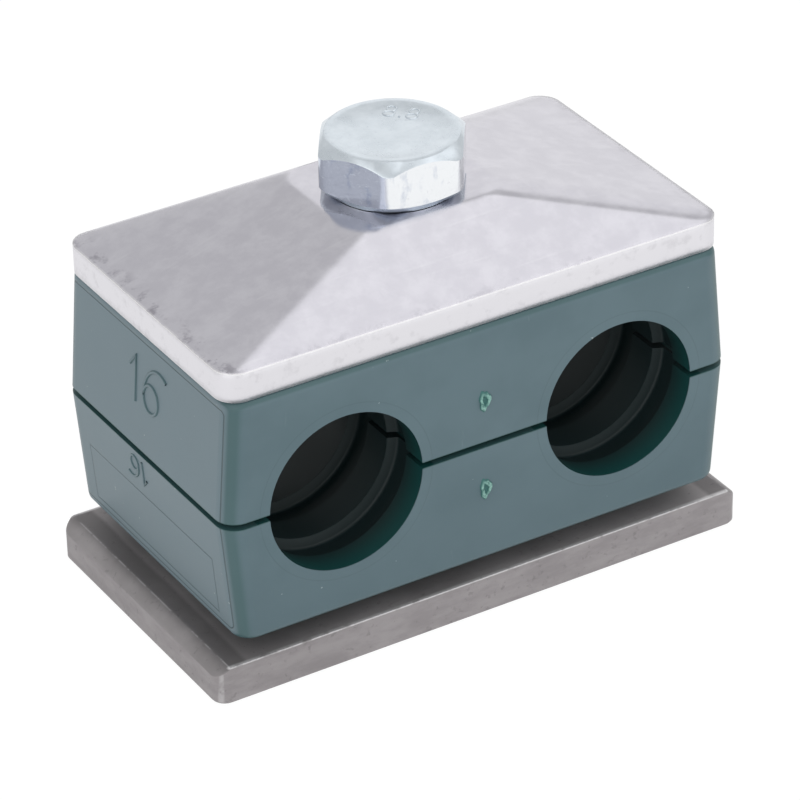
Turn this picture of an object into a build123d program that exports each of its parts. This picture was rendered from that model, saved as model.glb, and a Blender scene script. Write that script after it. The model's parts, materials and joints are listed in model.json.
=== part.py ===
"""Twin clamp for two parallel 16 mm tubes: weld plate, two moulded halves, cover plate and one M8 bolt.

The two tubes run along Y, side by side along X. The stack is built up along Z from the underside of
the weld plate, whose centre is the origin. Sizes are in millimetres.
"""
import os

from build123d import *

# Tubes and the moulded halves
tube_spacing = 29.0           # centre to centre of the two tubes
seat_r = 7.9                  # tube seat: a 16 mm tube is pinched by 0.1 mm all round
seat_floor = 4.5              # plastic between a seat and the outer face
end_wall = 4.4                # plastic beyond each seat, at the mating face
end_draft = 1.0               # each end leans in by this much from the mating face to the outer face
half_width = 30.4             # along the tubes
half_corner_r = 2.0
half_edge_r = 0.8             # outer edges of a half
split_gap = 0.6               # between the halves, taken up as the tubes are pinched
end_rib = 2.85                # the ribs of a tube seat, along the tube: one at each mouth,
groove_width = 3.4            # then a groove, a rib, a groove and the wider middle rib
inner_rib = 3.3
groove_depth = 1.0
groove_lean = 0.45            # each groove wall leans by this much over the depth
groove_root_r = 0.4
bolt_hole_d = 9.0             # clearance hole for M8
collar_pocket_depth = 4.0     # pocket for the plate's collar in the outer face of each half
collar_pocket_clearance = 0.3

# Weld plate
plate_end_margin = 1.5        # the plate stands out past the halves at each end ...
plate_side_inset = 0.1        # ... and is a little narrower than they are
plate_thickness = 3.8
plate_corner_r = 1.8
plate_end_roll = 1.3          # the sheared ends break away over this length ...
plate_end_drop = 1.0          # ... and this depth
collar_r = 6.5                # threaded collar, drawn up out of the plate
collar_height = 6.0
collar_foot_r = 1.0
collar_mouth_r = 1.2          # rounded mouth that the drawing leaves on the underside
collar_lead_in = 0.6

# Cover plate
cover_end_overhang = 0.3      # the cover is longer than the outer face of the upper half ...
cover_side_inset = 0.35       # ... and narrower
cover_sheet = 2.9
cover_corner_r = 2.2
cover_height = 7.8            # from its rim to the flat crown under the bolt head
crown_length = 16.0
crown_width = 14.0
crown_corner_r = 3.0
cover_seat = 2.2              # width of the flat rim that rests on the upper half
cover_inner_corner_r = 1.2

# M8 x 35 bolt
bolt_length = 35.0
thread_pitch_r = 3.594        # M8: the thread is modelled as a plain cylinder at its pitch line
thread_clearance = 0.05
head_across_flats = 13.0
head_height = 5.2
head_corner_r = 7.3           # the forged corners of the hexagon are blunted to this radius
head_top_r = 6.1
head_top_chamfer = 0.95
head_foot_r = 6.2
head_foot_chamfer = 0.75
head_turn = -4.0              # the hexagon stands turned by this angle when the bolt is tight
bolt_tip_chamfer = 0.7

# Lengths and widths that follow from the seats
half_height = seat_r + seat_floor - split_gap / 2
half_length_split = tube_spacing + 2 * (seat_r + end_wall)
half_length_outer = half_length_split - 2 * end_draft
plate_length = half_length_split + 2 * plate_end_margin
plate_width = half_width - 2 * plate_side_inset
cover_length = half_length_outer + 2 * cover_end_overhang
cover_width = half_width - 2 * cover_side_inset

# Heights of the stack
collar_top = plate_thickness + collar_height
lower_outer_z = collar_top - collar_pocket_depth
lower_split_z = lower_outer_z + half_height
upper_outer_z = lower_split_z + split_gap + half_height
crown_z = upper_outer_z + cover_height


def seat_groove_starts():
    """Where each groove of a tube seat begins, from one mouth to the middle and on to the other."""
    first = -half_width / 2 + end_rib
    second = first + groove_width + inner_rib
    return [first, second, -second - groove_width, -first - groove_width]


def moulded_half(outer):
    """One half, standing on the plane of its outer face. Both halves come from the same mould."""
    front = Plane(origin=outer.origin, x_dir=outer.x_dir, z_dir=-outer.y_dir)
    inward = Axis(outer.origin, outer.z_dir)
    axis_height = half_height + split_gap / 2
    with BuildPart() as half:
        with BuildSketch(front):
            with BuildLine():
                Polyline(
                    (-half_length_outer / 2, 0),
                    (half_length_outer / 2, 0),
                    (half_length_split / 2, half_height),
                    (-half_length_split / 2, half_height),
                    close=True,
                )
            make_face()
        extrude(amount=half_width / 2, both=True)
        fillet(half.edges().filter_by(lambda edge: abs(edge.tangent_at(0.5).Z) > 0.9), half_corner_r)
        fillet(half.faces().sort_by(inward)[0].edges(), half_edge_r)

        # The two tube seats
        with BuildSketch(front):
            with Locations((-tube_spacing / 2, axis_height), (tube_spacing / 2, axis_height)):
                Circle(seat_r)
        extrude(amount=half_width / 2, both=True, mode=Mode.SUBTRACT)

        # Gripping grooves round each seat
        for side in (-1, 1):
            centre = outer.from_local_coords((side * tube_spacing / 2, 0, axis_height))
            with BuildSketch(Plane(origin=centre, x_dir=(0, 1, 0), z_dir=(1, 0, 0))) as grooves:
                for start in seat_groove_starts():
                    with BuildLine():
                        Polyline(
                            (start, seat_r - groove_depth),
                            (start, seat_r),
                            (start + groove_lean, seat_r + groove_depth),
                            (start + groove_width - groove_lean, seat_r + groove_depth),
                            (start + groove_width, seat_r),
                            (start + groove_width, seat_r - groove_depth),
                            close=True,
                        )
                    make_face()
                fillet(grooves.vertices().group_by(Axis.Z)[-1], groove_root_r)
            revolve(axis=Axis(centre, (0, 1, 0)), mode=Mode.SUBTRACT)

        # Bolt hole, with the pocket for the collar
        with BuildSketch(outer):
            Circle(bolt_hole_d / 2)
        extrude(amount=half_height, mode=Mode.SUBTRACT)
        with BuildSketch(outer):
            Circle(collar_r + collar_pocket_clearance)
        extrude(amount=collar_pocket_depth, mode=Mode.SUBTRACT)
    return half


# Weld plate: sheared flat bar, with the threaded collar that centres the lower half
with BuildPart() as weld_plate:
    with BuildSketch(Plane.XZ):
        with BuildLine():
            Polyline(
                (-plate_length / 2, 0),
                (plate_length / 2, 0),
                (plate_length / 2, plate_thickness - plate_end_drop),
                (plate_length / 2 - plate_end_roll, plate_thickness),
                (-plate_length / 2 + plate_end_roll, plate_thickness),
                (-plate_length / 2, plate_thickness - plate_end_drop),
                close=True,
            )
        make_face()
    extrude(amount=plate_width / 2, both=True)
    fillet(weld_plate.edges().filter_by(Axis.Z), plate_corner_r)
    with BuildSketch(Plane.XY.offset(plate_thickness)):
        Circle(collar_r)
    extrude(amount=collar_height)
    foot = weld_plate.edges().filter_by(GeomType.CIRCLE).filter_by_position(
        Axis.Z, plate_thickness, plate_thickness
    ).sort_by(SortBy.RADIUS)[-1]
    fillet(foot, collar_foot_r)
    with BuildSketch():
        Circle(thread_pitch_r)
    extrude(amount=collar_top, mode=Mode.SUBTRACT)
    bore_edges = weld_plate.edges().filter_by(GeomType.CIRCLE).filter_by(
        lambda edge: abs(edge.radius - thread_pitch_r) < 0.01
    ).sort_by(Axis.Z)
    fillet(bore_edges[0], collar_mouth_r)
    chamfer(bore_edges[-1], collar_lead_in)

# The two halves: the upper one is the lower one turned over about the tubes
lower_half = moulded_half(Plane.XY.offset(lower_outer_z))
upper_half = moulded_half(Plane(origin=(0, 0, upper_outer_z), x_dir=(-1, 0, 0), z_dir=(0, 0, -1)))

# Cover plate: sheet pressed to four slopes that rise from the rim to a flat crown
with BuildPart() as cover_plate:
    with BuildSketch(Plane.XY.offset(upper_outer_z)):
        RectangleRounded(cover_length, cover_width, cover_corner_r)
    extrude(amount=cover_sheet)
    with BuildSketch(Plane.XY.offset(upper_outer_z + cover_sheet)):
        RectangleRounded(cover_length, cover_width, cover_corner_r)
    with BuildSketch(Plane.XY.offset(crown_z)):
        RectangleRounded(crown_length, crown_width, crown_corner_r)
    loft()
    with BuildSketch(Plane.XY.offset(upper_outer_z)):
        RectangleRounded(cover_length - 2 * cover_seat, cover_width - 2 * cover_seat, cover_inner_corner_r)
    with BuildSketch(Plane.XY.offset(crown_z - cover_sheet)):
        RectangleRounded(crown_length, crown_width, crown_corner_r)
    loft(mode=Mode.SUBTRACT)
    with BuildSketch(Plane.XY.offset(upper_outer_z)):
        Circle(bolt_hole_d / 2)
    extrude(amount=cover_height, mode=Mode.SUBTRACT)

# Hex bolt: the chamfered head is the hexagon's overlap with a turned blank
with BuildPart() as hex_bolt:
    with BuildSketch(Plane.XY.offset(crown_z)):
        RegularPolygon(head_across_flats / 2, 6, major_radius=False, rotation=head_turn)
    extrude(amount=head_height)
    with BuildSketch(Plane.XZ):
        with BuildLine():
            Polyline(
                (0, crown_z),
                (head_foot_r, crown_z),
                (head_corner_r, crown_z + head_foot_chamfer),
                (head_corner_r, crown_z + head_height - head_top_chamfer),
                (head_top_r, crown_z + head_height),
                (0, crown_z + head_height),
                close=True,
            )
        make_face()
    revolve(axis=Axis.Z, mode=Mode.INTERSECT)
    with BuildSketch(Plane.XY.offset(crown_z)):
        Circle(thread_pitch_r - thread_clearance)
    extrude(amount=-bolt_length)
    chamfer(hex_bolt.edges().sort_by(Axis.Z)[0], bolt_tip_chamfer)

os.makedirs("parts", exist_ok=True)

weld_plate.part.label = "weld_plate"
export_step(weld_plate.part, "parts/weld_plate.step")

lower_half.part.label = "lower_half"
export_step(lower_half.part, "parts/lower_half.step")

upper_half.part.label = "upper_half"
export_step(upper_half.part, "parts/upper_half.step")

cover_plate.part.label = "cover_plate"
export_step(cover_plate.part, "parts/cover_plate.step")

hex_bolt.part.label = "hex_bolt"
export_step(hex_bolt.part, "parts/hex_bolt.step")
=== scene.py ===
# %% [markdown]
# # A twin clamp for two tubes
# The clamp is a stack: a steel plate that is welded down, two moulded plastic halves that grip the
# tubes, a pressed steel cover plate and one hex bolt through the middle. The solids are loaded as a
# fixed frame. This lesson gives them their finishes, adds the small marks that a mould and a stamp
# leave, and cuts real threads in place of a plain cylinder and a plain hole.

# %% Load the frame
import bpy, bmesh, json, math
from mathutils import Matrix, Vector


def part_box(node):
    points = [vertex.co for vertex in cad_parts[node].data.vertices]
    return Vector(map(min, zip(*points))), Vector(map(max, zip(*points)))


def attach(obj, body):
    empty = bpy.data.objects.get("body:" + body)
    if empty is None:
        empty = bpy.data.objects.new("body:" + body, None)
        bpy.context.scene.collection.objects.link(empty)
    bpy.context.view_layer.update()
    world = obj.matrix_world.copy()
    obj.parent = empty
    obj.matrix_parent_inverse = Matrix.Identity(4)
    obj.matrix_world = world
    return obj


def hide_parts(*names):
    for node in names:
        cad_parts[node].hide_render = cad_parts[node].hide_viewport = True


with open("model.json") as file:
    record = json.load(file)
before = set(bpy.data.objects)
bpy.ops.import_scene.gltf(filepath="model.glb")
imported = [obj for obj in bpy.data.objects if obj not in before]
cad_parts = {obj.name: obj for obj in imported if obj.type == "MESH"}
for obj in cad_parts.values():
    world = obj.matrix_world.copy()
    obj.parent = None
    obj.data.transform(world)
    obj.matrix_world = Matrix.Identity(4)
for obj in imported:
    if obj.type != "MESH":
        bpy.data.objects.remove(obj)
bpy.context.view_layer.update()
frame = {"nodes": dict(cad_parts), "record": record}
scene = bpy.context.scene
nodes = frame["nodes"]

# %% [markdown]
# Everything is placed from the boxes of the solids and from the record's mounts, so that nothing is
# measured twice. All lengths are in metres, and `MM` turns the small standard sizes into metres.

# %% Places on the stack
MM = 0.001
plate_low, plate_high = [Vector(c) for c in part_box("weld_plate")]
lower_low, lower_high = [Vector(c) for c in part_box("lower_half")]
upper_high = Vector(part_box("upper_half")[1])
cover_low, cover_high = [Vector(c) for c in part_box("cover_plate")]
bolt_low, bolt_high = [Vector(c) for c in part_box("hex_bolt")]
seat = next(m for m in frame["record"]["mounts"] if m["name"] == "tube_seat_left")
seat_r = seat["dims"]["r_mm"] * MM
seat_z = seat["pos_m"][2]
seat_x = abs(seat["pos_m"][0])
print("tube seats: radius %.4f, height %.4f, spacing %.4f" % (seat_r, seat_z, 2 * seat_x))

# %% [markdown]
# A material could be wired up node by node, but it is easiest to read as arithmetic. `Val` wraps one
# socket and turns `+`, `-`, `*` and `abs` into Math nodes, with the reflected forms, so that `1 -
# mask` works. Any other node comes from `node`: its settings go in first, then the values or links of
# its sockets, each by name or by number.

# %% Shader arithmetic


def feed(slot, value):
    """Link a Val to an input, or set the input to a constant."""
    if isinstance(value, Val):
        slot.id_data.links.new(value.socket, slot)
    else:
        slot.default_value = value


def node(tree, kind, settings=None, inputs=None):
    """Add a node and return its first output."""
    made = tree.nodes.new(kind)
    for name, value in (settings or {}).items():
        setattr(made, name, value)
    for name, value in (inputs or {}).items():
        feed(made.inputs[name], value)
    return Val(made.outputs[0])


def find(tree, kind):
    return next(n for n in tree.nodes if n.type == kind)


class Val:
    """One output socket of a node tree."""

    def __init__(self, socket):
        self.socket, self.tree = socket, socket.id_data

    def out(self, name):
        """Another output of the same node, by name or by number."""
        return Val(self.socket.node.outputs[name])

    def math(self, operation, *others):
        return node(self.tree, "ShaderNodeMath", {"operation": operation},
                    dict(enumerate((self, *others))))

    def __add__(self, other):
        return self.math("ADD", other)

    def __sub__(self, other):
        return self.math("SUBTRACT", other)

    def __rsub__(self, other):
        return node(self.tree, "ShaderNodeMath", {"operation": "SUBTRACT"}, {0: other, 1: self})

    def __mul__(self, other):
        return self.math("MULTIPLY", other)

    def __abs__(self):
        return self.math("ABSOLUTE")

    __radd__ = __add__
    __rmul__ = __mul__

    def clamp(self):
        return self.math("MINIMUM", 1.0).math("MAXIMUM", 0.0)

    def band(self, centre, half_width, soft):
        """1 where this value is within half_width of centre, falling to 0 over soft."""
        return ((half_width - abs(self - centre)) * (1 / soft) + 0.5).clamp()


def distance(across, along):
    """The length of the slanting side over two sides at right angles."""
    return (across.math("POWER", 2.0) + along.math("POWER", 2.0)).math("SQRT")


def rgb(red, green, blue):
    return (red, green, blue, 1.0)


print("arithmetic on sockets is ready")

# %% [markdown]
# Every finish starts from the same few things: the place on the object, the direction that the
# surface faces, noises, a smooth step from one value to another, and colours laid over one another by
# masks. `Finish` keeps them with the new material. Object coordinates are used throughout, so that no
# UV map is needed and a streak runs on round a corner.

# %% Finishes
MIX_FACTOR, MIX_FIRST, MIX_SECOND, MIX_RESULT = 0, 6, 7, 2      # the colour sockets of a Mix node


class Finish:
    """A new material with a Principled shader, and what its masks are worked out from."""

    def __init__(self, name, **shader):
        self.material = bpy.data.materials.new(name)
        self.material.use_nodes = True
        self.tree = self.material.node_tree
        self.shader = find(self.tree, "BSDF_PRINCIPLED")
        self.set(**shader)
        self.place = self.node("ShaderNodeTexCoord").out("Object")
        normal = self.node("ShaderNodeNewGeometry").out("Normal")
        self.x, self.y, self.z = self.split(self.place)
        self.nx, self.ny, self.nz = self.split(normal)

    def node(self, kind, settings=None, inputs=None):
        return node(self.tree, kind, settings, inputs)

    def split(self, vector):
        parts = self.node("ShaderNodeSeparateXYZ", None, {0: vector})
        return [parts.out(axis) for axis in "XYZ"]

    def noise(self, scale, detail, roughness, stretch=None):
        place = self.place
        if stretch:
            place = self.node("ShaderNodeMapping", None, {"Vector": place, "Scale": stretch})
        return self.node("ShaderNodeTexNoise", None, {"Vector": place, "Scale": scale, "Detail": detail,
                                                      "Roughness": roughness})

    def level(self, value, low, high):
        """0 at low and 1 at high, smooth between; low may be the larger of the two."""
        return self.node("ShaderNodeMapRange", {"interpolation_type": "SMOOTHSTEP"},
                         {"Value": value, "From Min": low, "From Max": high})

    def mix(self, mask, first, second):
        mixed = self.node("ShaderNodeMix", {"data_type": "RGBA"},
                          {MIX_FACTOR: mask, MIX_FIRST: first, MIX_SECOND: second})
        return mixed.out(MIX_RESULT)

    def paint(self, colour, *coats):
        """Lay coats over a colour, each a pair of mask and colour."""
        for mask, coat in coats:
            colour = self.mix(mask, colour, coat)
        return colour

    def set(self, **inputs):
        for name, value in inputs.items():
            feed(self.shader.inputs[name.replace("_", " ")], value)

    def bump(self, height, depth, strength, **more):
        """Let the surface look raised by height times depth, and return the finished material."""
        inputs = {"Height": height, "Distance": depth, "Strength": strength, **more}
        self.set(Normal=self.node("ShaderNodeBump", None, inputs))
        return self.material

    def change_to(self, mask, **shader):
        """Where mask is 1, show a second Principled shader instead of the first."""
        inputs = {name.replace("_", " "): value for name, value in shader.items()}
        second = self.node("ShaderNodeBsdfPrincipled", None, inputs)
        mixed = self.node("ShaderNodeMixShader", None,
                          {0: mask, 1: Val(self.shader.outputs[0]), 2: second})
        feed(find(self.tree, "OUTPUT_MATERIAL").inputs[0], mixed)


def finish_node(name, material):
    """Give a solid of the frame its material."""
    nodes[name].data.materials.clear()
    nodes[name].data.materials.append(material)
    print(name, "is finished in", material.name)


print("a finish mixes its colours through sockets", MIX_FIRST, "and", MIX_SECOND)

# %% [markdown]
# **Marks of the mould.** A loose insert in the mould leaves a fine line near the rim of each end, and
# the lower half carries a plain label field. Both are a tenth of a millimetre deep, so cutting them
# as geometry would cost many thin faces. They are drawn as masks instead: each is the distance to a
# rectangle, and a narrow band of that distance is its outline.

# %% Marks of the mould
INSERT_INSET, INSERT_RISE, INSERT_R = 1.35 * MM, 1.0 * MM, 0.5 * MM
FIELD_RISE, FIELD_HALF_Y, FIELD_HALF_Z = 4.6 * MM, 11.5 * MM, 2.9 * MM
LINE_HALF = 0.05 * MM


def insert_line(look):
    """A rounded rectangle round both halves together."""
    half_y = lower_high.y - INSERT_INSET
    low, high = lower_low.z + INSERT_RISE, upper_high.z - INSERT_RISE
    off_y = abs(look.y) - (half_y - INSERT_R)
    off_z = abs(look.z - (low + high) / 2) - ((high - low) / 2 - INSERT_R)
    outside = distance(off_y.math("MAXIMUM", 0.0), off_z.math("MAXIMUM", 0.0))
    inside = off_y.math("MAXIMUM", off_z).math("MINIMUM", 0.0)
    return (outside + inside).band(INSERT_R, LINE_HALF, 0.08 * MM)


def label_field(look):
    """A plain rectangle, low on the lower half."""
    off_y = abs(look.y) - FIELD_HALF_Y
    off_z = abs(look.z - (lower_low.z + FIELD_RISE)) - FIELD_HALF_Z
    return off_y.math("MAXIMUM", off_z).band(0.0, LINE_HALF, 0.09 * MM)


print("label field %.1f x %.1f mm" % (2 * FIELD_HALF_Y / MM, 2 * FIELD_HALF_Z / MM))

# %% [markdown]
# **The tube seats.** They need masks of their own, worked out from the distance to the seat's axis.
# One covers the inside with its ribs and grooves, but stops just short of the front and back faces.
# One is a faint ring, where the core of the mould met the cavity. One covers the faces where the halves
# meet, and carries the painted shade of the gap between them.

# %% Seats and parting
RING_R = seat_r + 1.0 * MM
SEAT_SKIN, SEAT_FADE = 1.15 * MM, 0.20 * MM
FACE_NEAR, FACE_FAR = 0.02 * MM, 0.12 * MM


def seat_masks(look):
    from_seat = distance(abs(look.x) - seat_x, look.z - seat_z)
    behind_front = look.level(abs(look.y), lower_high.y - FACE_NEAR, lower_high.y - FACE_FAR)
    inside = look.level(from_seat, seat_r + SEAT_SKIN + SEAT_FADE, seat_r + SEAT_SKIN) * behind_front
    front_face = look.level(abs(look.ny), 0.90, 0.97)
    ring = from_seat.band(RING_R, 0.04 * MM, 0.12 * MM) * front_face
    parting_shade = look.level(abs(look.z - seat_z), 0.42 * MM, 0.33 * MM)
    return inside, ring, parting_shade


print("ring round each seat at radius %.4f" % RING_R)

# %% [markdown]
# ** The plastic.** The halves are moulded in a grey-green polypropylene. Outside, a satin skin mirrors
# the pale room and turns the green greyer. In the tube seats nothing pale is mirrored, and their dark
# colour is painted shade, darkest deep in the seat and more teal near its mouths. One shader would
# need its mirror strength varied over the surface, so the seats get a second shader instead, and a
# mask changes from one to the other. Flow streaks, dust and a few scuffs break up the outside. The
# end faces are painted lighter and whiter, a painted sheen. The rounded edges, the gap where the
# halves meet and the lower part are painted darker, as painted shade.

# %% Moulded plastic
SKIN_DARK, SKIN_LIGHT = rgb(0.088, 0.148, 0.172), rgb(0.104, 0.168, 0.194)
SKIN_STREAK, END_SHEEN_PALE = rgb(0.115, 0.180, 0.206), rgb(0.180, 0.240, 0.275)
SKIN_LOW_SHADE, EDGE_SHADE_GREEN = rgb(0.070, 0.118, 0.140), rgb(0.035, 0.100, 0.100)
PARTING_SHADE_GREEN, LINE_DARK = rgb(0.018, 0.080, 0.076), rgb(0.03, 0.06, 0.065)
# painted shade: the two seat colours on the next line stand for the dark inside of the tube seats
SEAT_SHADE_DEEP, SEAT_SHADE_MOUTH = rgb(0.016, 0.030, 0.032), rgb(0.008, 0.060, 0.058)
DUST_PALE, SCUFF_PALE = rgb(0.55, 0.62, 0.62), rgb(0.24, 0.31, 0.32)
MOUTH_DEPTH = 4.0 * MM


def moulded_plastic():
    look = Finish("moulded_plastic", IOR=1.5, Specular_IOR_Level=0.5)
    end_face = look.level(abs(look.nx), 0.80, 0.90)
    broad = abs(look.nx).math("MAXIMUM", abs(look.ny)).math("MAXIMUM", abs(look.nz))
    edge = look.level(broad, 0.97, 0.80)
    inside, ring, parting_shade = seat_masks(look)
    insert, field = insert_line(look) * end_face, label_field(look) * end_face
    lines = (insert * 0.75 + field * 0.6 + ring * 0.2).clamp()

    # What the plastic's flow and its use have left; the last mask, low, is painted shade towards the
    # bottom
    streaks = look.noise(90.0, 2.0, 0.5, stretch=(0.35, 1.0, 2.2))
    grain = look.noise(5200.0, 2.0, 0.6)
    cloud = look.noise(160.0, 3.0, 0.55)
    scuffs = look.level(look.noise(700.0, 3.0, 0.7, stretch=(1.0, 1.0, 0.25)), 0.70, 0.76)
    dust = look.level(look.noise(1700.0, 2.0, 0.5), 0.765, 0.785) * (1 - inside)
    low = look.level(look.z, seat_z + 1.0 * MM, lower_low.z)

    skin = look.paint(
        look.mix(look.level(cloud, 0.3, 0.7), SKIN_DARK, SKIN_LIGHT),
        (look.level(streaks, 0.35, 0.75) * 0.35, SKIN_STREAK),
        # painted sheen: the end faces are painted lighter and whiter
        (end_face * 0.5, END_SHEEN_PALE),
        # painted shade: darker towards the bottom, less so on the end faces
        (low * (0.35 - end_face * 0.17), SKIN_LOW_SHADE),
        # painted shade on the rounded edges, darker and greener
        (edge * 0.6, EDGE_SHADE_GREEN),
        (dust * 0.5, DUST_PALE),
        # painted shade in the gap where the halves meet
        (parting_shade * 0.75, PARTING_SHADE_GREEN),
        (scuffs * 0.2, SCUFF_PALE),
        (lines, LINE_DARK))
    look.set(Base_Color=skin, Roughness=0.36 + cloud * 0.12 + scuffs * 0.15)
    height = grain * 0.02 + cloud * 0.25 - insert - field * 0.8 - ring * 0.15
    look.bump(height, 0.10 * MM, 0.6)

    # painted shade in the seats: darkest deep inside, more teal near the mouths
    mouth = look.level(abs(look.y), lower_high.y - MOUTH_DEPTH, lower_high.y)
    look.change_to(inside, Base_Color=look.mix(mouth, SEAT_SHADE_DEEP, SEAT_SHADE_MOUTH),
                   Roughness=0.38 + cloud * 0.1, Specular_IOR_Level=0.30)
    return look.material


plastic = moulded_plastic()
for name in ("lower_half", "upper_half"):
    finish_node(name, plastic)

# %% [markdown]
# **Pieces of their own.** Some things must be real geometry: a thread, a torn gate, raised numerals.
# All of them end the same way. The piece is linked to the scene, rides on its body so that it moves
# with the joint, and is given its material. Rings of vertices, bridged one to the next, make most of
# the shapes here, since nearly everything on a clamp is round.

# %% Making a piece
MERGE = 0.002 * MM


def add_piece(piece, body, material):
    scene.collection.objects.link(piece)
    piece.data.materials.append(material)
    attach(piece, body)


def bridge(mesh, rings):
    """Join each ring to the next with a closed strip of quads."""
    for first, second in zip(rings, rings[1:]):
        for column in range(len(first)):
            after = (column + 1) % len(first)
            mesh.faces.new((first[column], first[after], second[after], second[column]))


def finish_piece(mesh, name, body, material, sharp, replaced=None):
    """Turn a bmesh into a piece: normals outward, edges sharper than the angle kept."""
    bmesh.ops.recalc_face_normals(mesh, faces=mesh.faces)
    data = bpy.data.meshes.new(name)
    mesh.to_mesh(data)
    mesh.free()
    data.polygons.foreach_set("use_smooth", [True] * len(data.polygons))
    data.set_sharp_from_angle(angle=math.radians(sharp))
    piece = bpy.data.objects.new(name, data)
    add_piece(piece, body, material)
    if replaced:
        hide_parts(replaced)
    print(name, "has", len(data.polygons), "faces")


print("vertices closer than %.3f mm are merged" % (MERGE / MM))

# %% [markdown]
# **The gates.** Where the plastic flowed into each half, the sprue is torn off and leaves a small
# ragged nub on the front face: a raised ring round a hollow, lighter than the skin, because torn
# plastic scatters light. A noise on a flat disc would look painted on, so the nub is modelled: rings
# grow from the middle, and two sine waves make each of them uneven.

# %% Gate marks
GATE_X, GATE_Z = 0.0, 4.65 * MM
GATE_R, GATE_TALL, GATE_SIDES = 0.62 * MM, 1.75, 32
GATE_RISES = [rise * MM for rise in (0.05, 0.06, 0.26, 0.34, 0.22, -0.02)]
TORN_DARK, TORN_PALE = rgb(0.04, 0.15, 0.14), rgb(0.30, 0.55, 0.48)


def torn_plastic():
    look = Finish("torn_plastic", IOR=1.5)
    fibres = look.noise(2400.0, 4.0, 0.7)
    raised = look.level(lower_low.y - look.y, 0.08 * MM, 0.24 * MM)
    torn = look.level(fibres, 0.30, 0.55) * raised
    look.set(Base_Color=look.mix(torn, TORN_DARK, TORN_PALE), Roughness=0.45 + fibres * 0.2)
    return look.bump(fibres, 0.15 * MM, 0.8)


def gate_mark(name, body, z, material):
    mesh = bmesh.new()
    front_y = lower_low.y

    def gate_ring(share, height):
        ring = []
        for side in range(GATE_SIDES):
            turn = 2 * math.pi * side / GATE_SIDES
            wave = 1 + 0.12 * math.sin(3 * turn + 1.0) + 0.07 * math.sin(7 * turn)
            rise = height * (0.8 + 0.3 * math.sin(2 * turn + 0.6))
            out = GATE_R * share * wave
            ring.append(mesh.verts.new((GATE_X + out * math.cos(turn), front_y - rise,
                                        z + out * GATE_TALL * math.sin(turn))))
        return ring

    middle = mesh.verts.new((GATE_X, front_y - GATE_RISES[0], z))
    rings = [gate_ring((index + 1) / len(GATE_RISES), height) for index, height in enumerate(GATE_RISES)]
    for side, vertex in enumerate(rings[0]):
        mesh.faces.new((middle, vertex, rings[0][(side + 1) % GATE_SIDES]))
    bridge(mesh, rings)
    finish_piece(mesh, name, body, material, 30.0)


torn = torn_plastic()
gate_mark("gate_lower", "base", seat_z - GATE_Z, torn)
gate_mark("gate_upper", "jaw", seat_z + GATE_Z, torn)

# %% [markdown]
# **The size marks.** Each half carries its tube size on the end face, as thin raised strokes: upright
# on the upper half, turned over on the lower one, since both come from one mould. A font would work
# too, but moulds are cut with a round tool, which a swept stroke matches better. So the numerals are
# drawn as paths on a grid one unit high, laid on the drafted face, and swept with a small round
# section.

# %% Numerals


def arc(x, y, across, high, start, end, parts=20):
    """Points of an ellipse arc between two angles in degrees."""
    angles = [math.radians(start + (end - start) * i / parts) for i in range(parts + 1)]
    return [(x + across * math.cos(a), y + high * math.sin(a)) for a in angles]


NUMERALS = {
    "1": [[(0.05, 0.72), (0.28, 1.00), (0.28, 0.00)]],
    "6": [arc(0.66, 0.30, 0.58, 0.70, 62, 180, 10)[:-1] + arc(0.36, 0.30, 0.28, 0.30, 180, -180)],
    "8": [arc(0.30, 0.75, 0.23, 0.25, -90, 270), arc(0.30, 0.25, 0.28, 0.25, -90, 270)],
    ".": [[(0.10, 0.02), (0.10, 0.10)]],
}
ADVANCE = {"1": 0.52, "6": 0.78, "8": 0.78, ".": 0.36}


def mark(name, body, material, text, tall, thick, place):
    """Sweep the strokes of text; place(across, up) lays a point of the writing in space."""
    curve = bpy.data.curves.new(name, "CURVE")
    curve.dimensions = "3D"
    curve.bevel_depth, curve.bevel_resolution = thick, 2
    begin = -sum(ADVANCE[sign] for sign in text) / 2
    for sign in text:
        for stroke in NUMERALS[sign]:
            spline = curve.splines.new("POLY")
            spline.points.add(len(stroke) - 1)
            for point, (across, high) in zip(spline.points, stroke):
                point.co = (*place((begin + across) * tall, (high - 0.5) * tall), 1)
        begin += ADVANCE[sign]
    add_piece(bpy.data.objects.new(name, curve), body, material)
    print(name, "reads", text)


print("numerals ready:", " ".join(NUMERALS))

# %% Size marks
END_LEAN = 1.0 / 12.1       # each end leans in by 1 mm over the height of a half


def on_end(centre_y, centre_z, turn):
    """A place on the drafted left end; turn is -1 for writing that is turned over."""
    def place(across, up):
        z = centre_z + up * turn
        return lower_low.x + END_LEAN * abs(z - seat_z), centre_y - across * turn, z
    return place


mark("size_upper", "jaw", plastic, "16", tall=4.7 * MM, thick=0.18 * MM,
     place=on_end(0.0, seat_z + 7.2 * MM, 1))
mark("size_lower", "base", plastic, "16", tall=2.5 * MM, thick=0.15 * MM,
     place=on_end(1.5 * MM, seat_z - 2.3 * MM, -1))

# %% [markdown]
# ** Plated steel.** The cover is bright zinc over pressed sheet, a soft mirror: fully metallic, with a
# roughness that wanders a little and is lowest round the bolt, where it has been rubbed. The press
# leaves shallow waves, and the ridges are bends, not creases. Rounding them in the mesh would mean a
# new cover, so a Bevel node rounds them in the shading only. The sheared rim keeps a bright burr
# along its upper edge, and just above it lies a patchy dark band of painted shade, heavier on the end
# that faces left.

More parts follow.
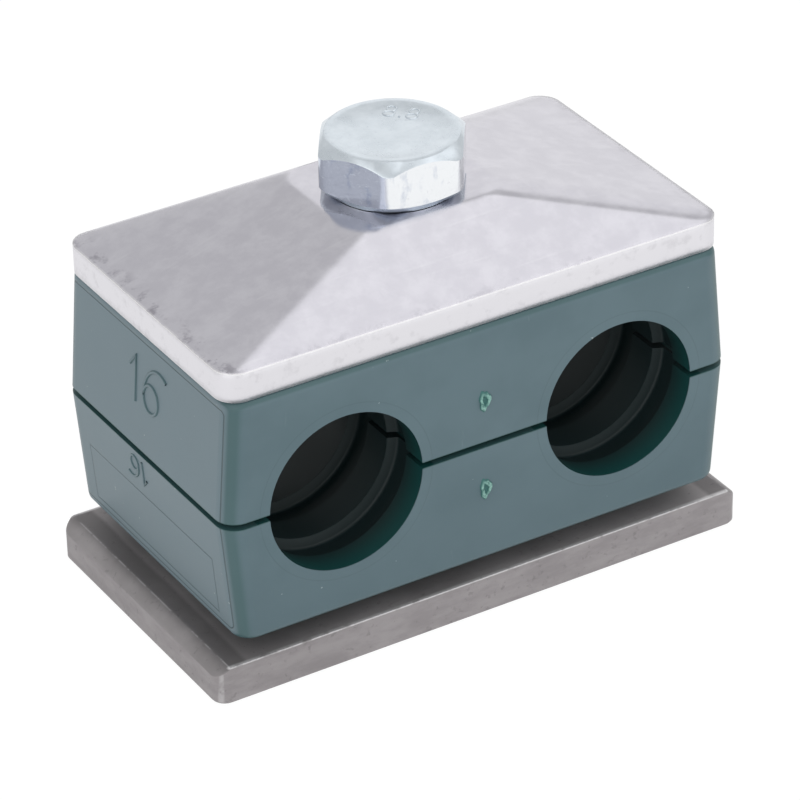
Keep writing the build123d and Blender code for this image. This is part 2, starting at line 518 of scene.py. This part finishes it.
# %% Zinc plate
COVER_SHEET, RIDGE_R = 2.9 * MM, 1.1 * MM
ZINC_DARK, ZINC_LIGHT = rgb(0.60, 0.59, 0.64), rgb(0.66, 0.65, 0.70)
RIM_PALE, RIM_DULL = rgb(0.82, 0.81, 0.84), rgb(0.60, 0.59, 0.62)
SHADE_BAND_DARK, SCRATCH_PALE = rgb(0.30, 0.29, 0.33), rgb(0.74, 0.74, 0.77)
BURR_BRIGHT = rgb(0.96, 0.95, 0.96)


def zinc_plate():
    look = Finish("zinc_plate", Metallic=1.0)
    wave, mottle = look.noise(60.0, 2.0, 0.5), look.noise(420.0, 4.0, 0.6)
    ragged = look.noise(900.0, 3.0, 0.6)
    scratches = look.level(look.noise(1500.0, 2.0, 0.6, stretch=(0.05, 1.0, 0.5)), 0.60, 0.75)
    side = 1 - look.level(abs(look.nz), 0.15, 0.35)
    rim_z = cover_low.z + COVER_SHEET
    burr = look.z.band(rim_z - 0.05 * MM, 0.06 * MM, 0.10 * MM) * look.level(ragged, 0.20, 0.50)
    # painted shade: a patchy dark band just above the rim's upper edge, heavier on the end that faces
    # left
    shade_band = look.level(look.z, rim_z + 0.6 * MM, rim_z) * (1 - side)
    shade_band = shade_band * look.level(look.noise(500.0, 4.0, 0.7), 0.50, 0.66)
    left_end_shade = look.level(look.nx, -0.08, -0.20)
    rubbed = look.level(distance(look.x, look.y), 14.0 * MM, 8.0 * MM)
    zinc = look.paint(
        look.mix(look.level(mottle, 0.35, 0.7), ZINC_DARK, ZINC_LIGHT),
        # painted shade along the rim
        (shade_band * (0.28 + left_end_shade * 0.5), SHADE_BAND_DARK),
        (side * 0.85, RIM_PALE),
        (side * look.level(ragged, 0.52, 0.72) * 0.4, RIM_DULL),
        (scratches * 0.2, SCRATCH_PALE),
        (burr, BURR_BRIGHT))
    look.set(Base_Color=zinc, Roughness=0.15 + mottle * 0.10 + side * 0.24 + burr * 0.15 - rubbed * 0.10)
    height = wave * 0.5 + mottle * 0.03 + scratches * 0.02 + side * ragged * 0.15
    softened = look.node("ShaderNodeBevel", {"samples": 8}, {"Radius": RIDGE_R})
    return look.bump(height, 0.12 * MM, 0.35, Normal=softened)


finish_node("cover_plate", zinc_plate())

# %% [markdown]
# **Threads.** A screw thread is one profile carried round a helix. A Screw modifier could sweep it,
# but its ends would stick out. Here the rows of the mesh climb by one pitch in each turn, so the
# crest and the root lie exactly on rows, and the last column joins the row one pitch up. Where the
# thread must end, heights are clamped, and a cone limits the radius: that is how a real thread runs
# out. The same function, with the cone turned round, cuts the thread of the collar, in step with the
# bolt's.

# %% Helical wall
PITCH = 1.25 * MM
CREST, ROOT = 3.95 * MM, 3.30 * MM
PROFILE = ((0.00, 0), (0.12, 0), (0.44, 1), (0.56, 1), (0.88, 0))      # share of the pitch, raised or not
AROUND = 90


def on_circle(radius, angle, z):
    return radius * math.cos(angle), radius * math.sin(angle), z


def helical_wall(mesh, z_low, z_high, root, crest, limit):
    """Add a right-handed thread between two heights; limit(radius, z) trims it."""
    start = math.floor(z_low / PITCH - 1) * PITCH
    turns = math.ceil((z_high - z_low) / PITCH) + 3
    grid = []
    for turn in range(turns):
        for share, raised in PROFILE:
            row, z_row = [], start + (turn + share) * PITCH
            for column in range(AROUND):
                z = min(max(z_row + PITCH * column / AROUND, z_low), z_high)
                radius = limit(crest if raised else root, z)
                row.append(mesh.verts.new(on_circle(radius, 2 * math.pi * column / AROUND, z)))
            grid.append(row)
    # The last column joins the first column of the row one pitch up
    pitch_up = len(PROFILE)
    for index in range(len(grid) - 1):
        lower, upper = list(grid[index]), list(grid[index + 1])
        if index + 1 + pitch_up < len(grid):
            lower.append(grid[index + pitch_up][0])
            upper.append(grid[index + 1 + pitch_up][0])
        for column in range(len(lower) - 1):
            mesh.faces.new((lower[column], lower[column + 1], upper[column + 1], upper[column]))


print("thread M8 x %.2f, %d columns around" % (PITCH / MM, AROUND))

# %% [markdown]
# **The bolt.** A forged hex head is a hexagon cut by two shallow cones, so each side ends in a curved
# line above and below. Cutting it with booleans would leave long thin triangles. Instead, each ring
# of the head is worked out: the radius of the hexagon at an angle, blunted at its corners, and the
# height where the cone meets it. Head and thread share their columns, so they join without a seam.

# %% Outlines of the head
APOTHEM, BLUNT = 6.5 * MM, 7.3 * MM
TOP_R, TOP_DROP = 6.1 * MM, 0.95 * MM
FOOT_R, FOOT_RISE, FOOT_BEVEL = 6.0 * MM, 0.60 * MM, 0.35 * MM
SOFT, DISH_R, DISH_DEPTH = 0.10 * MM, 5.2 * MM, 0.10 * MM
TIP_R, TIP_SLOPE = 2.9 * MM, 1.2
HEAD_TURN = math.radians(-4.0)
HEAD_FOOT, HEAD_TOP = cover_high.z, bolt_high.z
DISH_Z = HEAD_TOP - DISH_DEPTH


def hexagon(angle):
    """Radius of the blunted hexagon; its corners stand at HEAD_TURN."""
    sixth = math.pi / 3
    off = (angle - HEAD_TURN) % sixth - sixth / 2
    return min(APOTHEM / math.cos(off), BLUNT)


def top_edge(angle):
    return HEAD_TOP - max(hexagon(angle) - TOP_R, 0) * TOP_DROP / (BLUNT - TOP_R)


def foot_edge(angle):
    return HEAD_FOOT + max(hexagon(angle) - FOOT_R, 0) * FOOT_RISE / (BLUNT - FOOT_R)


print("head %.1f mm across flats, %.1f mm tall" % (2 * APOTHEM / MM, (HEAD_TOP - HEAD_FOOT) / MM))

# %% Hex bolt


def ring_of(mesh, radius, z):
    """A ring in step with the thread's columns; radius and z are numbers or functions of the angle."""
    ring = []
    for column in range(AROUND):
        angle = 2 * math.pi * column / AROUND
        r = radius(angle) if callable(radius) else radius
        height = z(angle) if callable(z) else z
        ring.append(mesh.verts.new(on_circle(r, angle, height)))
    return ring


def run_out(radius, z):
    """The bolt's thread starts on a cone at the tip and ends on one under the head."""
    return min(radius, TIP_R + (z - bolt_low.z) * TIP_SLOPE, ROOT + HEAD_FOOT - z)


def hex_bolt(material):
    mesh = bmesh.new()
    head = [ring_of(mesh, radius, z) for radius, z in (
        (ROOT, HEAD_FOOT),
        (FOOT_R - SOFT, HEAD_FOOT),
        (FOOT_R + SOFT, HEAD_FOOT + SOFT * 0.5),
        (lambda a: hexagon(a) - FOOT_BEVEL, foot_edge),
        (hexagon, lambda a: foot_edge(a) + FOOT_BEVEL * 1.3),
        (hexagon, lambda a: top_edge(a) - SOFT),
        (lambda a: hexagon(a) - SOFT, lambda a: top_edge(a) + SOFT * 0.3),
        (TOP_R + SOFT, HEAD_TOP - SOFT * 0.5),
        (TOP_R - SOFT, HEAD_TOP),
        (DISH_R + 0.25 * MM, HEAD_TOP),
        (DISH_R, DISH_Z),
        (DISH_R * 0.5, DISH_Z))]
    bridge(mesh, head)
    mesh.faces.new(head[-1])
    helical_wall(mesh, bolt_low.z, HEAD_FOOT, ROOT, CREST, run_out)
    mesh.faces.new(ring_of(mesh, TIP_R, bolt_low.z))
    bmesh.ops.remove_doubles(mesh, verts=mesh.verts, dist=MERGE)
    finish_piece(mesh, "hex_bolt_threaded", "bolt", material, 28.0, "hex_bolt")


# %% [markdown]
# The bolt is zinc plated too, with a bluer and brighter passivation than the cover. Its sides were
# sheared smooth, so they mirror the room more sharply than the forged top, apart from dull streaks
# where a spanner has sat. The sides that face left are painted a duller blue-grey, a painted
# reflection of the cover beside them. The strength number is stamped near the rim of the head; here
# it is raised a little from the shallow dish, by the same strokes as the size marks.

# %% Finish and number of the bolt
BOLT_DARK, BOLT_LIGHT = rgb(0.66, 0.72, 0.77), rgb(0.76, 0.82, 0.87)
DOT_GREY, FACET_BRIGHT = rgb(0.54, 0.58, 0.65), rgb(0.88, 0.90, 0.92)
FACET_REFLECTION_AND_WEAR = rgb(0.48, 0.54, 0.66)
GRADE_R, GRADE_TURN = 3.6 * MM, math.radians(42.0)


def bolt_zinc():
    look = Finish("bolt_zinc", Metallic=1.0)
    mottle = look.noise(520.0, 4.0, 0.6)
    dots = look.level(look.noise(2600.0, 3.0, 0.7), 0.60, 0.72)
    streak = look.noise(900.0, 3.0, 0.6, stretch=(1.0, 1.0, 0.5))
    facet = 1 - look.level(abs(look.nz), 0.05, 0.25)
    # painted reflection on the sides that face left, plus dull spanner streaks
    reflection_and_wear = look.level(look.nx, -0.50, -0.85) * 0.7 + look.level(streak, 0.55, 0.75) * 0.4
    zinc = look.paint(
        look.mix(look.level(mottle, 0.3, 0.7), BOLT_DARK, BOLT_LIGHT),
        (dots * 0.4, DOT_GREY),
        (facet, FACET_BRIGHT),
        (facet * reflection_and_wear.clamp(), FACET_REFLECTION_AND_WEAR))
    look.set(Base_Color=zinc, Roughness=0.22 + mottle * 0.14 + dots * 0.12 - facet * 0.13)
    return look.bump(mottle + dots * -0.3 + facet * streak * 0.6, 0.04 * MM, 0.5)


def on_head(across, up):
    """A place in the dish of the head, with the writing's foot towards the middle."""
    out, cos, sin = GRADE_R + up, math.cos(GRADE_TURN), math.sin(GRADE_TURN)
    return out * cos + across * sin, out * sin - across * cos, DISH_Z


bolt_finish = bolt_zinc()
hex_bolt(bolt_finish)
mark("grade", "bolt", bolt_finish, "8.8", tall=1.9 * MM, thick=0.09 * MM, place=on_head)

# %% [markdown]
# ** The weld plate.** It is sheared from flat bar and left bare, so that it can be welded. Its dull
# grey mill film has a metal's tint but little of its mirror, which is why it is less than half
# metallic. The shear leaves a bright ragged burr along the long edges and drags the steel on its
# sides. The upright corners and the ridge where each end starts to roll over get painted highlights,
# and a dark band of painted shade on the top face follows the foot of the lower half.

# %% Mill steel
PLATE_TOP = plate_low.z + 3.8 * MM
CORNER_R, END_ROLL, END_DROP = 1.4 * MM, 1.3 * MM, 1.0 * MM
MILL_DARK, MILL_LIGHT = rgb(0.27, 0.255, 0.258), rgb(0.36, 0.34, 0.345)
DRAG_DARK, DRAG_LIGHT = rgb(0.30, 0.280, 0.287), rgb(0.37, 0.348, 0.354)
PIT_DARK, CONTACT_SHADE_DARK = rgb(0.16, 0.15, 0.152), rgb(0.085, 0.08, 0.083)
STEEL_BURR_AND_HIGHLIGHT = rgb(0.74, 0.73, 0.74)


def mill_steel():
    look = Finish("mill_steel", Metallic=0.45, Specular_IOR_Level=0.5)
    cloud, ragged = look.noise(120.0, 4.0, 0.6), look.noise(600.0, 3.0, 0.6)
    pits = look.level(look.noise(1300.0, 4.0, 0.65), 0.58, 0.70)
    drag = look.noise(420.0, 4.0, 0.65, stretch=(0.5, 0.5, 1.5))
    side = 1 - look.level(abs(look.nz), 0.25, 0.5)

    # The burr, with painted highlights on the upright corners and on the ridge where each end starts to
    # roll over
    edge = look.z.band(PLATE_TOP - 0.05 * MM, 0.07 * MM, 0.10 * MM) * look.level(ragged, 0.28, 0.52)
    burr = edge * look.level(abs(look.y), plate_high.y - 0.5 * MM, plate_high.y - 0.2 * MM)
    # painted highlight on the rounded upright corners
    corner_highlight = look.level(abs(look.nx) * abs(look.ny), 0.43, 0.50) * look.level(ragged, 0.35, 0.55)
    # painted highlight along the ridge where each end starts to roll over
    ridge_highlight = abs(look.x).band(plate_high.x - END_ROLL, 0.05 * MM, 0.12 * MM)
    ridge_highlight = ridge_highlight * look.level(ragged, 0.42, 0.60) * look.level(look.nz, 0.5, 0.7)
    bright = (burr * 0.75 + corner_highlight * 0.35 + ridge_highlight * 0.35).clamp()

    # The painted shade lies on the top face only, from a little inside the lower half's foot to a little
    # outside
    away = abs(look.x) - lower_high.x + cloud * 0.8 * MM
    contact_shade = look.level(away, 1.5 * MM, 0.3 * MM) * look.level(away, -1.6 * MM, -1.0 * MM)
    contact_shade = contact_shade * look.level(look.nz, 0.3, 0.6)
    steel = look.paint(
        look.mix(look.level(cloud, 0.3, 0.7), MILL_DARK, MILL_LIGHT),
        (side, look.mix(look.level(drag, 0.3, 0.7), DRAG_DARK, DRAG_LIGHT)),
        (pits * 0.35, PIT_DARK),
        # painted shade where the lower half shades the top face
        (contact_shade * 0.55, CONTACT_SHADE_DARK),
        # the burr, and painted highlights on the corners and the ridge
        (bright, STEEL_BURR_AND_HIGHLIGHT))
    look.set(Base_Color=steel, Roughness=0.50 + cloud * 0.16 - burr * 0.15)
    return look.bump(cloud * 0.6 + pits * -0.25 + drag * side * 0.35 + burr * 0.3, 0.12 * MM, 0.7)


steel_finish = mill_steel()
print("bare steel, plate top at %.4f" % PLATE_TOP)

# %% [markdown]
# The blade bends each end down where it enters, and the thread runs inside a collar drawn up from the
# plate. The solid has a plain hole, so the whole plate is replaced: one set of rings goes round its
# section, down the outside, across the underside and up into the hole, and a second set rises from
# the flat top over the collar. Rounded rectangle and circle have equally many points, facing each
# other, so that no strip of quads is twisted.

# %% Rings of the plate
CORNER_STEPS, LONG_PARTS, SHORT_PARTS = 10, 40, 18
ROLL_POWER = 1.12


def plate_outline(inset):
    """The plate's rounded outline, drawn in by inset: the same number of points for any inset."""
    half_x, half_y = plate_high.x - inset, plate_high.y - inset
    radius = max(CORNER_R - inset, 0.02 * MM)
    sides = ((2 * (half_x - radius), LONG_PARTS), (2 * (half_y - radius), SHORT_PARTS))
    points = []
    for quarter, (sx, sy) in enumerate(((1, 1), (-1, 1), (-1, -1), (1, -1))):
        centre = Vector((sx * (half_x - radius), sy * (half_y - radius)))
        for step in range(CORNER_STEPS + 1):
            angle = math.pi / 2 * (quarter + step / CORNER_STEPS)
            points.append(centre + radius * Vector((math.cos(angle), math.sin(angle))))
        along, start = Vector((-math.sin(angle), math.cos(angle))), points[-1]
        length, parts = sides[quarter % 2]
        points += [start + along * (length * part / parts) for part in range(1, parts)]
    return points


def outline_ring(mesh, inset, height):
    return [mesh.verts.new((p.x, p.y, height(p))) for p in plate_outline(inset)]


def matched_ring(mesh, radius, z):
    """A circle whose points face the outline's points, so that the flat top joins without a twist."""
    angles = [math.atan2(point.y, point.x) for point in plate_outline(0.0)]
    return [mesh.verts.new(on_circle(radius, angle, z)) for angle in angles]


def top_height(point):
    """The top face, rolled over towards the sheared ends."""
    into_roll = max(abs(point.x) - (plate_high.x - END_ROLL), 0) / END_ROLL
    return PLATE_TOP - END_DROP * into_roll ** ROLL_POWER


print("outline of", len(plate_outline(0.0)), "points")

# %% Threaded weld plate
COLLAR_R, COLLAR_FOOT, COLLAR_BENDS, COLLAR_SOFT = 6.5 * MM, 1.0 * MM, 5, 0.2 * MM
HOLE_R, MOUTH_R, MOUTH_TALL, LEAD_R = 3.6 * MM, 1.2 * MM, 0.30 * MM, 4.2 * MM
FLAT_R, FLANK_GAP = COLLAR_R + 6 * MM, 0.07 * MM
FOOT_UP, FOOT_IN = 0.15 * MM, 0.12 * MM
TOP_RINGS = (   # inset from the outline and depth below the top face, in mm
    (1.70, 0), (1.38, 0), (1.22, 0), (0.8, 0), (0.30, 0), (0.06, 0.03), (0.0, 0.12))


def mouth_radius(z):
    """The rounded mouth of the hole at the underside."""
    up = min((z - plate_low.z) / MOUTH_R, 1)
    return HOLE_R + MOUTH_R * (1 - math.sqrt(1 - (1 - up) ** 2))


def open_ends(radius, z):
    """The collar's thread widens to the rounded mouth below and to a lead-in cone above."""
    return max(radius, mouth_radius(z), LEAD_R - (plate_high.z - z))


def threaded_plate(material):
    mesh = bmesh.new()
    foot, top = plate_low.z, plate_high.z
    outside = [outline_ring(mesh, inset * MM, lambda p, d=drop * MM: top_height(p) - d)
               for inset, drop in TOP_RINGS]
    outside.append(outline_ring(mesh, 0.0, lambda p: foot + FOOT_UP))
    outside.append(outline_ring(mesh, FOOT_IN, lambda p: foot))
    mouth = [matched_ring(mesh, mouth_radius(foot + share * MOUTH_TALL), foot + share * MOUTH_TALL)
             for share in (0, 0.15, 0.5, 1)]
    bridge(mesh, outside + mouth)

    bends = [math.pi / 2 * bend / COLLAR_BENDS for bend in range(COLLAR_BENDS + 1)]
    collar = [matched_ring(mesh, COLLAR_R + COLLAR_FOOT * (1 - math.sin(angle)),
                           PLATE_TOP + COLLAR_FOOT * (1 - math.cos(angle))) for angle in bends]
    collar += [matched_ring(mesh, radius, z) for radius, z in (
        (COLLAR_R, top - COLLAR_SOFT), (COLLAR_R - COLLAR_SOFT, top), (LEAD_R, top))]
    bridge(mesh, [outside[0], matched_ring(mesh, FLAT_R, PLATE_TOP), *collar])

    helical_wall(mesh, foot + MOUTH_TALL, top, ROOT + FLANK_GAP, CREST + FLANK_GAP, open_ends)
    bmesh.ops.remove_doubles(mesh, verts=mesh.verts, dist=MERGE)
    finish_piece(mesh, "weld_plate_threaded", "base", material, 32.0, "weld_plate")


threaded_plate(steel_finish)

# %% [markdown]
# **The camera.** A long lens from the front left and a little above keeps the stack's upright edges
# nearly parallel, as in a catalogue. Its place is worked out from two angles and a distance, because
# they are easier to think in than a matrix, and a small roll turns it about its own axis.

# %% Camera
LENS, SENSOR = 204.37, 36.0
AZIMUTH, ELEVATION, ROLL = [math.radians(a) for a in (-30.67, 31.36, -1.31)]
TARGET, DISTANCE = Vector((-0.456, -1.098, 15.87)) * MM, 421.2 * MM
back = Vector((math.sin(AZIMUTH) * math.cos(ELEVATION), -math.cos(AZIMUTH) * math.cos(ELEVATION),
               math.sin(ELEVATION)))
right = Vector((0, 0, 1)).cross(back).normalized()
up = back.cross(right)
tilted_right = math.cos(ROLL) * right + math.sin(ROLL) * up
tilted_up = math.cos(ROLL) * up - math.sin(ROLL) * right
camera_data = bpy.data.cameras.new("camera")
camera_data.lens, camera_data.sensor_width = LENS, SENSOR
camera_data.clip_start, camera_data.clip_end = 0.01, 20.0
camera = bpy.data.objects.new("camera", camera_data)
scene.collection.objects.link(camera)
camera.matrix_world = Matrix.Translation(TARGET + back * DISTANCE) @ Matrix(
    (tilted_right, tilted_up, back)).transposed().to_4x4()
scene.camera = camera
print("camera %.3f m away" % DISTANCE)

# %% [markdown]
# **The light.** Bright metal shows what stands round it, so the light is a pale room with four broad,
# weak lamps. One above lights the slopes of the cover, one low in front the rim and the right facet
# of the head, one on the left the end faces, and one behind keeps the far slope from going grey.
# Small strong lamps would burn white spots into the zinc and cast hard shadows.

# %% Lamps
LAMPS = (   # name, place in metres, side in metres, watts
    ("top_lamp", (0.20, -0.08, 0.46), 0.50, 0.36),
    ("back_lamp", (0.28, 0.38, 0.20), 0.32, 0.10),
    ("front_lamp", (0.12, -0.50, 0.15), 0.55, 0.55),
    ("left_lamp", (-0.42, -0.26, 0.24), 0.60, 0.66))
aim = Vector((0, 0, seat_z))
for name, place, size, power in LAMPS:
    data = bpy.data.lights.new(name, "AREA")
    data.size, data.energy = size, power
    lamp = bpy.data.objects.new(name, data)
    scene.collection.objects.link(lamp)
    lamp.location = place
    lamp.rotation_mode = "QUATERNION"
    lamp.rotation_quaternion = (aim - Vector(place)).to_track_quat("-Z", "Y")
    print(name, "%.2f W over %.2f m" % (power, size))

# %% [markdown]
# The room is white to the camera, but lights the object with less than that. The floor works the same
# way: what the camera and mirrors see is mostly its glow, so that it is as white as the room, and the
# part that is left of its plain diffuse shader keeps the object's shadow.

# %% Room and floor
ROOM_LIGHT, ROOM_SEEN = 0.70, 1.00
FLOOR_HALF, FLOOR_DROP = 3.0, 0.0002
FLOOR_GLOW, FLOOR_SHARE = 1.05, 0.92
WHITE = rgb(1, 1, 1)


def seen_by(tree, *kinds):
    """1 for rays of these kinds, 0 for all others."""
    path = node(tree, "ShaderNodeLightPath")
    seen = path.out(kinds[0])
    for kind in kinds[1:]:
        seen = seen.math("MAXIMUM", path.out(kind))
    return seen


world = bpy.data.worlds.new("room")
scene.world = world
world.use_nodes = True
background = find(world.node_tree, "BACKGROUND")
seen = seen_by(world.node_tree, "Is Camera Ray", "Is Transmission Ray")
feed(background.inputs["Strength"], ROOM_LIGHT + seen * (ROOM_SEEN - ROOM_LIGHT))
feed(background.inputs["Color"], WHITE)

floor_data = bpy.data.meshes.new("floor")
corners = [(x * FLOOR_HALF, y * FLOOR_HALF, 0) for x, y in ((-1, -1), (1, -1), (1, 1), (-1, 1))]
floor_data.from_pydata(corners, [], [(0, 1, 2, 3)])
floor = bpy.data.objects.new("floor", floor_data)
scene.collection.objects.link(floor)
floor.location.z = -FLOOR_DROP
pale = bpy.data.materials.new("pale_floor")
pale.use_nodes = True
tree = pale.node_tree
diffuse = node(tree, "ShaderNodeBsdfDiffuse", None, {"Color": rgb(0.80, 0.80, 0.80)})
glow = node(tree, "ShaderNodeEmission", None, {"Color": WHITE, "Strength": FLOOR_GLOW})
shown = seen_by(tree, "Is Camera Ray", "Is Glossy Ray", "Is Transmission Ray") * FLOOR_SHARE
feed(find(tree, "OUTPUT_MATERIAL").inputs[0],
     node(tree, "ShaderNodeMixShader", None, {0: shown, 1: diffuse, 2: glow}))
floor_data.materials.append(pale)
scene.view_settings.view_transform = "Standard"
print("floor %.1f m wide, room strength %.2f" % (2 * FLOOR_HALF, ROOM_LIGHT))
